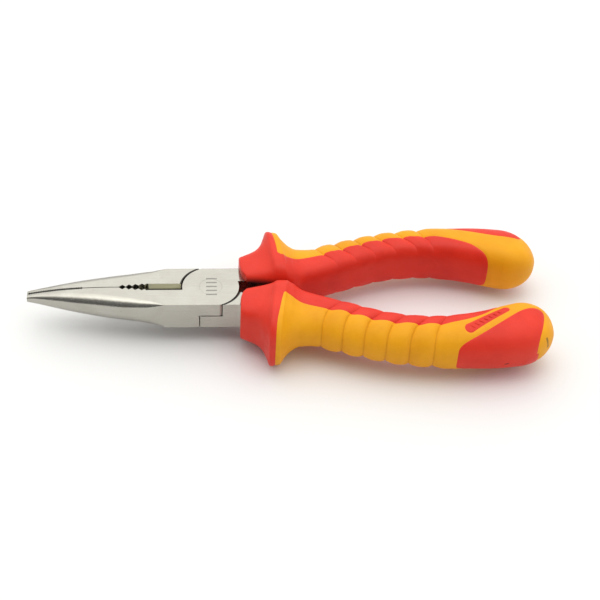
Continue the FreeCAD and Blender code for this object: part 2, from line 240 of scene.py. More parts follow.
def steel_mat(name, mark=False, side=1.0):
    """Ground and nickel-plated steel: directional grind lines, faint cloudiness, edge brightening."""
    mt, nt, bsdf = new_mat(name)
    v = obj_coords(nt)
    lines = obj_coords(nt, (40.0, 3000.0, 3000.0))
    grind = noise(nt, lines, 1.0, 5.0, 0.65)
    cloud = noise(nt, v, 130.0, 4.0, 0.6, 0.4)
    col = ramp(nt, cloud, [(0.25, (0.42, 0.405, 0.36)), (0.55, (0.46, 0.447, 0.40)), (0.8, (0.49, 0.48, 0.44))])
    col = mix_col(nt, maprange(nt, grind, 0.35, 0.68, 0.0, 0.16), col, (0.34, 0.325, 0.29))
    # dark pits and dried oil where the halves meet, and the shadow line of the lap on the flank
    pits = noise(nt, v, 900.0, 2.0, 0.5)
    near = node(nt, "ShaderNodeVectorMath", operation="DISTANCE")
    nt.links.new(v, near.inputs[0])
    near.inputs[1].default_value = tuple(to_row((0.5, -8.3, 0.3)))
    zone = maprange(nt, near.outputs["Value"], 0.0015, 0.0050, 1.0, 0.0)
    spots = math_node(nt, "MULTIPLY", zone, maprange(nt, pits, 0.66, 0.76, 0.0, 0.3))
    col = mix_col(nt, spots, col, (0.12, 0.10, 0.085))
    lap = node(nt, "ShaderNodeSeparateXYZ")
    nt.links.new(v, lap.inputs[0])
    cx, cy, cz = to_row((0.0, 0.0, 0.0))
    lx = math_node(nt, "ABSOLUTE", math_node(nt, "SUBTRACT", lap.outputs["X"], float(cx)))
    ly = math_node(nt, "ABSOLUTE", math_node(nt, "SUBTRACT", lap.outputs["Y"], float(cy)))
    lz = math_node(nt, "ABSOLUTE", math_node(nt, "SUBTRACT", lap.outputs["Z"], float(cz)))
    seam = math_node(nt, "MULTIPLY", maprange(nt, lz, 0.00014, 0.00026, 0.8, 0.0), maprange(nt, lx, 0.0030, 0.0042, 1.0, 0.0))
    seam = math_node(nt, "MULTIPLY", seam, math_node(nt, "GREATER_THAN", ly, 0.0079))
    col = mix_col(nt, seam, col, (0.06, 0.055, 0.05))
    # painted shade: a near-black ring round the recess that the other half's cheek turns in, standing in for the
    # shaded gap at its rim
    ex = math_node(nt, "MULTIPLY", lx, 1 / 0.00925)
    ey = math_node(nt, "MULTIPLY", ly, 1 / 0.00895)
    er = math_node(nt, "SQRT", math_node(nt, "ADD", math_node(nt, "MULTIPLY", ex, ex), math_node(nt, "MULTIPLY", ey, ey)))
    sz = math_node(nt, "MULTIPLY", math_node(nt, "SUBTRACT", lap.outputs["Z"], float(cz)), side)
    rim = math_node(nt, "MULTIPLY", maprange(nt, er, 1.026, 1.040, 0.9, 0.0), math_node(nt, "GREATER_THAN", er, 0.99))
    rim = math_node(nt, "MULTIPLY", rim, math_node(nt, "GREATER_THAN", sz, 0.0046))
    col = mix_col(nt, rim, col, (0.035, 0.033, 0.03))
    # the cutter bevels are left raw from grinding: matt khaki; a band across them is painted near black as shade,
    # standing in for the dark line where the jaws meet
    bx = math_node(nt, "SUBTRACT", lap.outputs["X"], float(cx))
    bev_m = math_node(nt, "MULTIPLY", math_node(nt, "LESS_THAN", bx, -0.0086), math_node(nt, "GREATER_THAN", bx, -0.0190))
    bev_m = math_node(nt, "MULTIPLY", bev_m, math_node(nt, "LESS_THAN", ly, 0.00150))
    bev_m = math_node(nt, "MULTIPLY", bev_m, math_node(nt, "LESS_THAN", lz, 0.00464))
    # light is 0 in a band 2.5 to 2.9 mm from the mid-plane: there the painted shade takes over from the khaki
    light = math_node(nt, "ADD", maprange(nt, lz, 0.0029, 0.0032, 0.0, 1.0), maprange(nt, lz, 0.0022, 0.0025, 1.0, 0.0), True)
    bevel_tone_and_shade = mix_col(nt, light, (0.05, 0.045, 0.04), (0.70, 0.68, 0.50))
    bevel_tone_and_shade = mix_col(nt, maprange(nt, grind, 0.35, 0.68, 0.0, 0.3), bevel_tone_and_shade, (0.30, 0.28, 0.20))
    col = mix_col(nt, bev_m, col, bevel_tone_and_shade)
    rough = maprange(nt, grind, 0.3, 0.7, 0.19, 0.29)
    rough = math_node(nt, "ADD", rough, math_node(nt, "MULTIPLY", bev_m, 0.25))
    if mark:
        # generic etched tally of parallel bars on the cheek
        sep = node(nt, "ShaderNodeSeparateXYZ")
        nt.links.new(v, sep.inputs[0])
        px, py, pz = to_row((0.25, 0.0, 4.67))
        gx = math_node(nt, "SUBTRACT", sep.outputs["X"], float(px))
        gy = math_node(nt, "SUBTRACT", sep.outputs["Y"], float(py))
        inx = math_node(nt, "LESS_THAN", math_node(nt, "ABSOLUTE", gx), 0.00165)
        iny = math_node(nt, "LESS_THAN", math_node(nt, "ABSOLUTE", gy), 0.00495)
        per = math_node(nt, "PINGPONG", gy, 0.00090)
        bar = maprange(nt, per, 0.00026, 0.00034, 1.0, 0.0)
        top = math_node(nt, "GREATER_THAN", sep.outputs["Z"], float(pz) - 0.00008)
        msk = math_node(nt, "MULTIPLY", math_node(nt, "MULTIPLY", inx, iny), math_node(nt, "MULTIPLY", bar, top))
        speck = noise(nt, v, 6000.0, 2.0, 0.6)
        msk = math_node(nt, "MULTIPLY", msk, maprange(nt, speck, 0.3, 0.6, 0.75, 1.0))
        col = mix_col(nt, msk, col, (0.25, 0.24, 0.225))
        rough = math_node(nt, "ADD", rough, math_node(nt, "MULTIPLY", msk, 0.3))
    nt.links.new(col, bsdf.inputs["Base Color"])
    nt.links.new(rough, bsdf.inputs["Roughness"])
    nt.links.new(maprange(nt, bev_m, 0.0, 1.0, 1.0, 0.25), bsdf.inputs["Metallic"])
    n1 = bump(nt, grind, 0.10, 0.00003)
    fine = noise(nt, v, 5200.0, 2.0, 0.5)
    n2 = bump(nt, fine, 0.06, 0.00003, n1)
    bev = node(nt, "ShaderNodeBevel", samples=6)
    bev.inputs["Radius"].default_value = 0.00012
    nt.links.new(n2, bev.inputs["Normal"])
    nt.links.new(bev.outputs[0], bsdf.inputs["Normal"])
    return mt


RED = ((0.70, 0.030, 0.013), (0.62, 0.024, 0.011), (0.76, 0.040, 0.018))
YEL = ((0.80, 0.345, 0.0065), (0.72, 0.295, 0.0050), (0.85, 0.385, 0.0095))

# ==================================================================== handle surface
ST = np.array([(8.8, 2.10, 13.30, 6.60), (10.5, 1.80, 14.20, 7.00), (12.5, 1.45, 15.20, 7.50), (14.3, 1.15, 16.60, 8.10),
               (15.7, 0.95, 18.90, 8.85), (16.6, 0.85, 21.90, 9.70), (17.2, 0.80, 23.85, 10.50), (17.8, 0.72, 24.15, 10.70),
               (20.3, 0.60, 23.95, 10.60), (21.1, 0.60, 22.90, 10.00), (21.9, 0.72, 21.75, 9.50), (22.9, 1.00, 20.60, 9.00),
               (24.5, 1.55, 19.45, 8.20), (27.0, 2.50, 18.70, 7.40), (30.0, 3.42, 18.75, 7.10), (34.0, 4.78, 19.80, 7.00), (40.0, 7.10, 21.95, 6.98), (47.0, 9.94, 24.20, 6.95),
               (54.0, 12.40, 26.00, 7.05), (61.0, 13.90, 27.10, 7.20), (68.0, 14.33, 27.80, 7.40), (75.0, 13.75, 28.20, 7.75),
               (82.0, 12.15, 28.30, 8.10), (88.0, 10.05, 27.95, 8.35), (92.5, 8.60, 27.30, 8.45)])
CAP_X, TAIL_X, SKIN = 92.5, 104.0, 1.8
E_X = [8.8, 18.5, 26, 40, 60, 82, 92.5]
E_IN = [4.5, 4.2, 3.8, 3.5, 3.4, 2.9, 2.65]
E_OUT = [4.0, 3.0, 2.3, 2.1, 2.1, 2.3, 2.45]


def pchip(xs, ys):
    xs, ys = np.asarray(xs, float), np.asarray(ys, float)
    h = np.diff(xs)
    d = np.diff(ys) / h
    mm = np.zeros(len(xs))
    for i in range(1, len(xs) - 1):
        if d[i - 1] * d[i] > 0:
            w1, w2 = 2 * h[i] + h[i - 1], h[i] + 2 * h[i - 1]
            mm[i] = (w1 + w2) / (w1 / d[i - 1] + w2 / d[i])
    mm[0], mm[-1] = d[0], d[-1]

    def f(x):
        x = np.asarray(x, float)
        i = np.clip(np.searchsorted(xs, x) - 1, 0, len(xs) - 2)
        t = (x - xs[i]) / h[i]
        return ((2 * t ** 3 - 3 * t ** 2 + 1) * ys[i] + (t ** 3 - 2 * t ** 2 + t) * h[i] * mm[i]
                + (-2 * t ** 3 + 3 * t ** 2) * ys[i + 1] + (t ** 3 - t ** 2) * h[i] * mm[i + 1])
    f.end_slope = mm[-1]
    return f


F_IN, F_OUT, F_B = (pchip(ST[:, 0], ST[:, k]) for k in (1, 2, 3))
# the guard leans back from the palm side to the inner side
LEAN = pchip([8.8, 10.5, 12.5, 14.3, 16.6, 18.4, 20.3, 22.9, 24.5, 27.0, 30.0, 33.0, 110.0],
             [0.0, 0.3, 0.9, 1.7, 2.7, 3.1, 3.1, 2.6, 2.0, 1.1, 0.35, 0.0, 0.0])


def dims(x, k=None):
    """Inner edge, outer edge, half thickness at stations x. Past CAP_X the tail rounds off."""
    x = np.asarray(x, float)
    xc = np.minimum(x, CAP_X)
    e = [f(xc) + f.end_slope * 0.6 * np.maximum(x - CAP_X, 0) for f in (F_IN, F_OUT, F_B)]
    if k is None:
        k = np.sqrt(np.clip(1 - (np.maximum(x - CAP_X, 0) / (TAIL_X - CAP_X)) ** 2, 0, 1))
    c = 0.5 * (e[0] + e[1])
    return c + (e[0] - c) * k, c + (e[1] - c) * k, e[2] * k


def ring_yz(yi, yo, b, ni, no, nt):
    """Section resampled evenly along its length; index 0 is the palm side, +Z comes first."""
    ph = np.linspace(0, 2 * np.pi, 1441)
    c, s = np.cos(ph), np.sin(ph)
    ym = yi + 0.42 * (yo - yi)
    a = np.where(c > 0, yo - ym, ym - yi)
    n = np.where(c > 0, no, ni)
    r = (np.abs(c / a) ** n + np.abs(s / b) ** n) ** (-1.0 / n)
    y, z = ym + r * c, r * s
    ln = np.concatenate([[0], np.cumsum(np.hypot(np.diff(y), np.diff(z)))])
    t = np.linspace(0, ln[-1], nt + 1)[:-1]
    return np.interp(t, ln, y), np.interp(t, ln, z)


def grid_for(xs, nt, ks=None, off=0.0):
    out = np.zeros((len(xs), nt, 3))
    for i, x in enumerate(xs):
        yi, yo, b = (float(q) for q in dims(x, None if ks is None else ks[i]))
        ni, no = np.interp(x, E_X, E_IN), np.interp(x, E_X, E_OUT)
        y, z = ring_yz(yi + off, yo - off, b - off, ni, no, nt)
        out[i, :, 0], out[i, :, 1], out[i, :, 2] = x, y, z
        if off == 0.0 and x < 33.0:
            out[i, :, 0] += float(LEAN(x)) * (yo - y) / (yo - yi)
    return out


def grid_normals(g):
    dx = np.gradient(g, axis=0)
    dt = np.roll(g, -1, 1) - np.roll(g, 1, 1)
    n = np.cross(dt, dx)
    n /= np.maximum(np.linalg.norm(n, axis=2, keepdims=True), 1e-9)
    c = g.mean(1, keepdims=True)
    sgn = np.sign(((g - c) * n).sum(2).mean())
    return n * sgn


# ---- ribs: seven lobes on the palm side whose grooves sweep back towards the inner side
GROOVES = np.array([32.8, 38.9, 45.2, 51.75, 58.6, 65.9])
LEAN_U = [0.0, 0.1, 0.2, 0.3, 0.4, 0.53, 0.7, 0.8, 0.9, 1.0]
LEAN_X = [0.0, 0.2, 0.6, 1.15, 1.7, 2.75, 4.9, 5.9, 6.8, 7.4]
AMP_U = [0.0, 0.35, 0.55, 0.75, 0.9, 0.975, 1.0]
AMP_A = [0.72, 0.86, 0.82, 0.58, 0.30, 0.05, 0.0]
LOBE = pchip([0, 0.07, 0.2, 0.45, 0.62, 0.77, 0.9, 1.0], [0, 0.26, 0.62, 1.0, 0.98, 0.84, 0.45, 0.0])
LOBE_END = pchip([0, 0.05, 0.14, 0.30, 0.5, 0.75, 1.0], [0, 0.26, 0.62, 0.95, 0.85, 0.62, 0.5])


def rib_phase(x, u):
    lean = np.interp(u, LEAN_U, LEAN_X)
    k = np.full(x.shape, -1)
    x0 = np.full(x.shape, GROOVES[0] - 7.0)
    x1 = GROOVES[0] + lean
    for i in range(len(GROOVES)):
        lo = GROOVES[i] + lean * (0.72 if i == len(GROOVES) - 1 else 1.0)
        hi = (GROOVES[i + 1] + lean * (0.72 if i + 1 == len(GROOVES) - 1 else 1.0)) if i + 1 < len(GROOVES) else lo + 12.0
        sel = x >= lo
        k = np.where(sel, i, k)
        x0, x1 = np.where(sel, lo, x0), np.where(sel, hi, x1)
    return k, (x - x0) / (x1 - x0), x - x0, x1 - x


def rib_height(x, u):
    k, p, d0, d1 = rib_phase(x, u)
    last = len(GROOVES) - 1
    pc = np.clip(p, 0, 1)
    h = np.where(k < 0, 0.5 - 0.5 * np.exp(-np.clip(d1, 0, None) / 0.9) , np.where(k == last, LOBE_END(pc), LOBE(pc)))
    h = h - 0.5
    h = np.where((k == last) & (p >= 1), 0.0, h)
    fade = np.clip((x - 27.0) / 3.0, 0, 1)
    line = -0.10 * np.exp(-(np.minimum(np.abs(d0), np.where(k == last, 9.0, np.abs(d1))) / 0.22) ** 2)
    line = np.where(k < 0, -0.10 * np.exp(-(d1 / 0.22) ** 2), line)
    return np.interp(u, AMP_U, AMP_A) * (h + line / 0.7) * fade


# ---- colour boundaries, as curves in plan (X, Y) of the handle at +Y
EDGE = np.array([(22.8, 8.2), (24.4, 8.5), (26.3, 9.15), (28.0, 9.8), (32.0, 11.1), (36.0, 12.5),
                 (40.0, 13.95), (44.0, 15.5), (48.0, 17.1), (52.0, 18.3), (56.0, 19.1), (60.0, 19.65), (64.0, 20.0), (68.0, 20.1),
                 (72.0, 19.7), (76.0, 18.8), (80.0, 17.3), (82.6, 15.95), (84.8, 14.2), (86.6, 12.5), (87.6, 11.0), (88.0, 9.7)])
EDGE_LO = EDGE.copy()            # on the badge face the strip is a little wider behind the guard
EDGE_LO[:6] = [(23.0, 8.75), (24.4, 9.2), (26.3, 10.0), (28.0, 10.65), (32.0, 11.75), (36.0, 12.85)]


def smooth_curve(pts, step=0.12):
    """Centripetal Catmull-Rom through the points, resampled at even steps."""
    p = np.asarray(pts, float)
    p = np.vstack([2 * p[0] - p[1], p, 2 * p[-1] - p[-2]])
    out = []
    for i in range(1, len(p) - 2):
        p0, p1, p2, p3 = p[i - 1:i + 3]
        t0 = 0.0
        t1 = t0 + np.linalg.norm(p1 - p0) ** 0.5
        t2 = t1 + np.linalg.norm(p2 - p1) ** 0.5
        t3 = t2 + np.linalg.norm(p3 - p2) ** 0.5
        t = np.linspace(t1, t2, 24, endpoint=False)[:, None]
        a1 = (t1 - t) / (t1 - t0) * p0 + (t - t0) / (t1 - t0) * p1
        a2 = (t2 - t) / (t2 - t1) * p1 + (t - t1) / (t2 - t1) * p2
        a3 = (t3 - t) / (t3 - t2) * p2 + (t - t2) / (t3 - t2) * p3
        b1 = (t2 - t) / (t2 - t0) * a1 + (t - t0) / (t2 - t0) * a2
        b2 = (t3 - t) / (t3 - t1) * a2 + (t - t1) / (t3 - t1) * a3
        out.append((t2 - t) / (t2 - t1) * b1 + (t - t1) / (t2 - t1) * b2)
    out = np.vstack(out + [p[-2][None]])
    ln = np.concatenate([[0], np.cumsum(np.linalg.norm(np.diff(out, axis=0), axis=1))])
    q = np.linspace(0, ln[-1], max(3, int(ln[-1] / step)))
    return np.stack([np.interp(q, ln, out[:, 0]), np.interp(q, ln, out[:, 1])], 1)




def red_border(points, line, turn_pts):
    """Guard edge, rounded corner and strip edge as one curve; the strip steps a little at every groove."""
    e_ = smooth_curve(points)
    ku, pu, _, _ = rib_phase(e_[:, 0], np.full(len(e_), 0.53))
    st = np.interp(pu, [0, 0.05, 0.16, 0.34, 0.55, 1.0], [0.0, 0.42, 0.5, 0.32, 0.06, 0.0])
    e_[:, 1] += np.where((ku >= 0) & (pu < 1), st * np.where(ku == len(GROOVES) - 1, 0.5, 1.0), 0)
    g_ = smooth_curve(line)
    c_ = smooth_curve([line[-1]] + turn_pts + [tuple(e_[6])], 0.08)
    return np.vstack([g_[:-1], c_[:-1], e_[6:]])


border_hi = red_border(EDGE, [(18.6, 32.0), (18.85, 27.0), (19.05, 24.2), (19.5, 19.6), (20.05, 15.5), (20.5, 12.0), (20.7, 9.5)],
                       [(20.85, 9.1), (21.4, 8.68), (22.1, 8.35)])
border_lo = red_border(EDGE_LO, [(18.6, 32.0), (18.85, 27.0), (19.05, 24.2), (19.6, 19.6), (20.5, 15.5), (21.2, 12.0), (21.7, 9.9)],
                       [(21.82, 9.4), (22.15, 9.0), (22.5, 8.82)])
PAD_L = [(73.0, 31.0), (72.85, 28.6), (73.1, 27.6), (74.3, 26.7), (77.2, 25.4), (79.6, 24.3), (82.0, 23.0), (84.4, 21.5),
         (87.0, 19.8), (89.6, 17.95), (92.1, 16.2), (94.7, 14.75), (97.0, 13.85), (98.9, 13.55), (100.0, 14.1), (100.35, 15.3),
         (100.1, 17.2), (99.1, 20.9), (98.0, 23.9), (97.35, 26.0), (97.5, 31.0)]
PAD_U = [(73.0, 31.0), (72.85, 28.6), (73.1, 27.5), (75.2, 26.2), (78.4, 24.3), (83.9, 22.0), (89.7, 19.95), (93.8, 19.05),
         (97.2, 18.95), (98.9, 19.35), (99.5, 20.5), (99.0, 22.4), (98.2, 24.6), (97.9, 27.0), (97.8, 31.0)]
pad_lo, pad_hi = smooth_curve(PAD_L), smooth_curve(PAD_U)


def badge_outline(grow=0.0):
    a, b, ra, rb = np.array([76.75, 22.2]), np.array([88.55, 14.9]), 1.62 + grow, 1.15 + grow
    ux = (b - a) / np.linalg.norm(b - a)
    uy = np.array([-ux[1], ux[0]])
    t = np.linspace(np.pi / 2, 1.5 * np.pi, 25)
    t2 = np.linspace(-np.pi / 2, np.pi / 2, 19)
    arc1 = a + ra * (np.cos(t)[:, None] * ux + np.sin(t)[:, None] * uy)
    arc2 = b + rb * (np.cos(t2)[:, None] * ux + np.sin(t2)[:, None] * uy)
    mid1 = arc1[-1] + np.linspace(0, 1, 60)[1:-1, None] * (arc2[0] - arc1[-1])
    mid2 = arc2[-1] + np.linspace(0, 1, 60)[1:-1, None] * (arc1[0] - arc2[-1])
    return np.vstack([arc1, mid1, arc2, mid2]), ux, uy, a, b


badge_o, b_ux, b_uy, b_a, b_b = badge_outline()


def dist_to(pts, curve):
    """Plan distance from points to a polyline."""
    best = np.full(len(pts), 1e9)
    a, b = curve[:-1], curve[1:]
    for i in range(0, len(a)):
        d = b[i] - a[i]
        t = np.clip(((pts - a[i]) @ d) / max(d @ d, 1e-12), 0, 1)
        q = a[i] + t[:, None] * d
        best = np.minimum(best, np.hypot(*(pts - q).T))
    return best


def groove_field(g):
    """How deep the surface dips beside a colour joint."""
    sh = g.shape[:2]
    pts = g[..., :2].reshape(-1, 2)
    z = g[..., 2].ravel()
    dep = np.zeros(len(pts))

    def add(curve, sel, width=0.30, depth=0.11):
        idx = np.where(sel)[0]
        lo, hi = curve.min(0) - 1, curve.max(0) + 1
        q = pts[idx]
        ok = (q[:, 0] > lo[0]) & (q[:, 0] < hi[0]) & (q[:, 1] > lo[1]) & (q[:, 1] < hi[1])
        idx = idx[ok]
        d = dist_to(pts[idx], curve)
        dep[idx] = np.maximum(dep[idx], depth * np.exp(-(d / width) ** 2))

    every = np.ones(len(pts), bool)
    add(border_hi[::2], z > -0.3)
    add(border_lo[::2], z < 0.3)
    add(pad_lo[::2], z < 0.3)
    add(pad_hi[::2], z > -0.3)
    add(np.vstack([badge_o, badge_o[:1]])[::2], z < -2.0, 0.26, 0.10)
    return dep.reshape(sh)


def mesh_from_grid(name, g, front="fan", tail="fan", front_rows=None):
    """Closed mesh from a ring grid; both ends are closed with a fan, after any shrinking rings the grid brings."""
    n, mth, _ = g.shape
    verts = g.reshape(-1, 3)
    faces = []
    i = np.arange(n - 1)[:, None] * mth
    j = np.arange(mth)[None]
    j2 = (j + 1) % mth
    quads = np.stack([i + j, i + mth + j, i + mth + j2, i + j2], -1).reshape(-1, 4)
    faces = quads.tolist()
    extra = [g[0].mean(0), g[-1].mean(0)]
    a, b = len(verts), len(verts) + 1
    verts = np.vstack([verts, extra])
    for k in range(mth):
        faces.append([a, k, (k + 1) % mth])
        o = (n - 1) * mth
        faces.append([b, o + (k + 1) % mth, o + k])
    me = bpy.data.meshes.new(name)
    me.from_pydata(to_row(verts).tolist(), [], faces)
    me.update()
    ob = bpy.data.objects.new(name, me)
    scene.collection.objects.link(ob)
    fix_normals(ob)
    return ob


def fix_normals(ob):
    bm = bmesh.new()
    bm.from_mesh(ob.data)
    bmesh.ops.recalc_face_normals(bm, faces=bm.faces)
    if bm.calc_volume(signed=True) < 0:
        bmesh.ops.reverse_faces(bm, faces=bm.faces)
    bm.to_mesh(ob.data)
    bm.free()


def prism(name, outline, z0, z1):
    pts = np.asarray(outline, float)
    keep = [0]
    for k in range(1, len(pts)):
        if np.linalg.norm(pts[k] - pts[keep[-1]]) > 1e-3:
            keep.append(k)
    if np.linalg.norm(pts[keep[-1]] - pts[keep[0]]) < 1e-3:
        keep = keep[:-1]
    pts = pts[keep]
    n = len(pts)
    v = np.zeros((2 * n, 3))
    v[:n, :2] = pts
    v[n:, :2] = pts
    v[:n, 2], v[n:, 2] = z0, z1
    f = [list(range(n)), list(range(2 * n - 1, n - 1, -1))]
    f += [[k, (k + 1) % n, n + (k + 1) % n, n + k] for k in range(n)]
    me = bpy.data.meshes.new(name)
    me.from_pydata(to_row(v).tolist(), [], f)
    ob = bpy.data.objects.new(name, me)
    scene.collection.objects.link(ob)
    bm = bmesh.new()
    bm.from_mesh(me)
    bmesh.ops.triangulate(bm, faces=bm.faces)
    bmesh.ops.recalc_face_normals(bm, faces=bm.faces)
    if bm.calc_volume(signed=True) < 0:
        bmesh.ops.reverse_faces(bm, faces=bm.faces)
    bm.to_mesh(me)
    bm.free()
    return ob


def boolean(ob, other, op):
    md = ob.modifiers.new("b", "BOOLEAN")
    md.operation = op
    md.object = other
    md.solver = "MANIFOLD"
    dg = bpy.context.evaluated_depsgraph_get()
    me = bpy.data.meshes.new_from_object(ob.evaluated_get(dg))
    ob.modifiers.clear()
    old = ob.data
    ob.data = me
    bpy.data.meshes.remove(old)
    return ob


def copy(ob, name):
    o = ob.copy()
    o.data = ob.data.copy()
    o.name = name
    o.data.name = name
    scene.collection.objects.link(o)
    return o


def drop(*obs):
    for o in obs:
        bpy.data.objects.remove(o, do_unlink=True)


# ---- the outer surface
NT = 232
xs = np.concatenate([np.linspace(8.8, 14.5, 30), np.linspace(14.5, 25.0, 66)[1:], np.linspace(25.0, CAP_X, 290)[1:]])
phi = np.radians(np.linspace(0, 88.5, 52)[1:])
xs_all = np.concatenate([xs, CAP_X + (TAIL_X - CAP_X) * np.sin(phi)])
ks_all = np.concatenate([np.ones(len(xs)), np.cos(phi)])
base = grid_for(xs_all, NT, ks_all)

# slanted mouth of the collar: the inner side stands further back
MY, MX = [-5, 0.2, 2.9, 5.0, 8.0, 14.5, 40], [11.5, 11.5, 10.7, 9.6, 9.0, 8.85, 8.85]
f_mouth = pchip(MY, MX)
nf = 30
tab = base[:nf].copy()
R = 0.45
ang = np.radians(np.linspace(0, 90, 8))
inset_rows = []
for a in ang:
    inset_rows.append((R * (1 - math.cos(a)), R * (1 - math.sin(a))))
rows = [(d, i) for d, i in inset_rows] + [(d, 0.0) for d in np.linspace(R, 5.6, 26)[1:-1]]
front = np.zeros((len(rows), NT, 3))
for r_i, (d, ins) in enumerate(rows):
    X = np.full(NT, 8.8 + d)
    for _ in range(6):
        Y = np.array([np.interp(X[j], tab[:, j, 0], tab[:, j, 1]) for j in range(NT)])
        xf = f_mouth(Y)
        X = xf + d * (base[nf - 1, :, 0] - xf) / 5.7
    Y = np.array([np.interp(X[j], tab[:, j, 0], tab[:, j, 1]) for j in range(NT)])
    Z = np.array([np.interp(X[j], tab[:, j, 0], tab[:, j, 2]) for j in range(NT)])
    ty, tz = np.roll(Y, -1) - np.roll(Y, 1), np.roll(Z, -1) - np.roll(Z, 1)
    ln = np.hypot(ty, tz)
    front[r_i] = np.stack([X, Y - ins * tz / ln, Z + ins * ty / ln], 1)
# closing rows of the mouth, from the rim towards the middle
cap_rows = []
c0 = front[0].mean(0)
for s in (0.12, 0.3, 0.5, 0.7, 0.88):
    q = front[0] + (c0 - front[0]) * s
    q[:, 0] = f_mouth(q[:, 1])
    cap_rows.append(q)
front_cap = np.stack(cap_rows[::-1])
body = base[nf - 1:]
g = np.concatenate([front_cap, front, body])
nrm = grid_normals(g)
yo = np.interp(g[..., 0], xs, [float(dims(x)[1]) for x in xs])
yi = np.interp(g[..., 0], xs, [float(dims(x)[0]) for x in xs])
u = np.clip((yo - g[..., 1]) / (yo - yi), 0, 1)
disp = np.where(g[..., 0] > 26.5, rib_height(g[..., 0], u), 0.0)
g_ribs = g + nrm * disp[..., None]
nrm2 = grid_normals(g_ribs)
dep = groove_field(g_ribs)
g_fin = g_ribs - nrm2 * dep[..., None]
nfc = len(front_cap)
g_fin[:nfc] = g[:nfc]
g_fin[..., 1] = np.minimum(g_fin[..., 1], 28.24)

outer = mesh_from_grid("outer", g_fin)
inner_x = np.concatenate([[18.4, 19.6, 20.8], np.linspace(22.0, 93.0, 120), [95, 97, 98.8, 100.2, 101.2, 101.9]])
gi = grid_for(inner_x, 96, None, SKIN)
for k in np.where(inner_x < 22.5)[0]:
    gi[k, :, 1:] = grid_for([22.5], 96, None, SKIN)[0][:, 1:]
for k, sh in ((-6, 0.99), (-5, 0.96), (-4, 0.9), (-3, 0.80), (-2, 0.64), (-1, 0.40)):
    c = gi[k].mean(0)
    base_r = grid_for([min(inner_x[k], 97.0)], 96, None, SKIN)[0]
    cc = base_r.mean(0)
    gi[k, :, 1] = c[1] + (base_r[:, 1] - cc[1]) * sh
    gi[k, :, 2] = (base_r[:, 2]) * sh
inner = mesh_from_grid("inner", gi)



def red_outline(border):
    return np.vstack([[(88.0, 6.0)], [(88.0, -6.0)], [(2.0, -6.0)], [(2.0, 34.0)], [(18.55, 34.0)], border])


red_zone = prism("red_zone", red_outline(border_lo), -16, 0.0)
red_zone_hi = prism("red_zone_hi", red_outline(border_hi), 0.0, 16)
boolean(red_zone, red_zone_hi, "UNION")
pad_zone_lo = prism("pad_lo", pad_lo, -16, 0.0)
pad_zone_hi = prism("pad_hi", pad_hi, 0.0, 16)
pad_zone = boolean(pad_zone_lo, pad_zone_hi, "UNION")
badge_zone = prism("badge_zone", badge_o, -14, -3)

# ---- the tang's pocket in the hard core (the tang's outline in plan, tapered in thickness)
T_IN = smooth_curve([(8.0, 2.35), (10.5, 2.9), (13.5, 3.9), (18.0, 4.9), (24.0, 5.6), (30.0, 6.9), (38.0, 10.0), (47.0, 13.6),
                     (56.0, 16.6), (65.0, 18.0), (75.0, 18.0), (86.0, 16.6)], 1.0)
T_OUT = smooth_curve([(8.0, 8.275), (10.5, 8.75), (13.5, 9.9), (18.0, 11.7), (24.0, 13.2), (30.0, 14.4), (38.0, 16.9),
                      (47.0, 20.0), (56.0, 22.6), (65.0, 23.9), (75.0, 23.9), (86.0, 22.0)], 1.0)
tx = np.linspace(8.05, 86.0, 80)
ti, to = np.interp(tx, T_IN[:, 0], T_IN[:, 1]), np.interp(tx, T_OUT[:, 0], T_OUT[:, 1])
th = np.interp(tx, [7, 8.7, 14, 24, 87], [4.67, 4.67, 3.9, 3.3, 2.5])
e = 0.02
tg = np.stack([np.stack([tx, ti - e, -th - e], 1), np.stack([tx, to + e, -th - e], 1), np.stack([tx, to + e, th + e], 1),
               np.stack([tx, ti - e, th + e], 1)], 1)
tang = mesh_from_grid("tang", tg)

core = copy(outer, "core")
boolean(core, red_zone, "INTERSECT")
inner_in = copy(inner, "inner_in")
boolean(inner_in, outer, "INTERSECT")
boolean(core, inner_in, "UNION")
boolean(core, tang, "DIFFERENCE")
# the collar is open on its inner side, where the tang's bare flank shows
open_side = prism("open_side", [(7.0, -1.0), (7.0, 2.6), (10.5, 3.1), (13.5, 4.1), (15.6, 4.5), (15.6, -1.0)], -4.3, 4.3)
boolean(core, open_side, "DIFFERENCE")
soft = copy(outer, "soft")
for cutter in (red_zone, inner, pad_zone, badge_zone):
    boolean(soft, cutter, "DIFFERENCE")
pad = copy(outer, "pad")
boolean(pad, pad_zone, "INTERSECT")
boolean(pad, inner, "DIFFERENCE")
badge = copy(outer, "badge")
boolean(badge, badge_zone, "INTERSECT")
boolean(badge, inner, "DIFFERENCE")


# raised cross bars on the badge, following the face of the grip
def face_z(px, py):
    """Z of the lower face (negative side) at plan points."""
    yi_, yo_, b_ = dims(px)
    ym_ = yi_ + 0.42 * (yo_ - yi_)
    n_ = np.where(py > ym_, np.interp(px, E_X, E_OUT), np.interp(px, E_X, E_IN))
    a_ = np.where(py > ym_, yo_ - ym_, ym_ - yi_)
    return -b_ * np.clip(1 - np.abs((py - ym_) / a_) ** n_, 0, 1) ** (1 / n_)


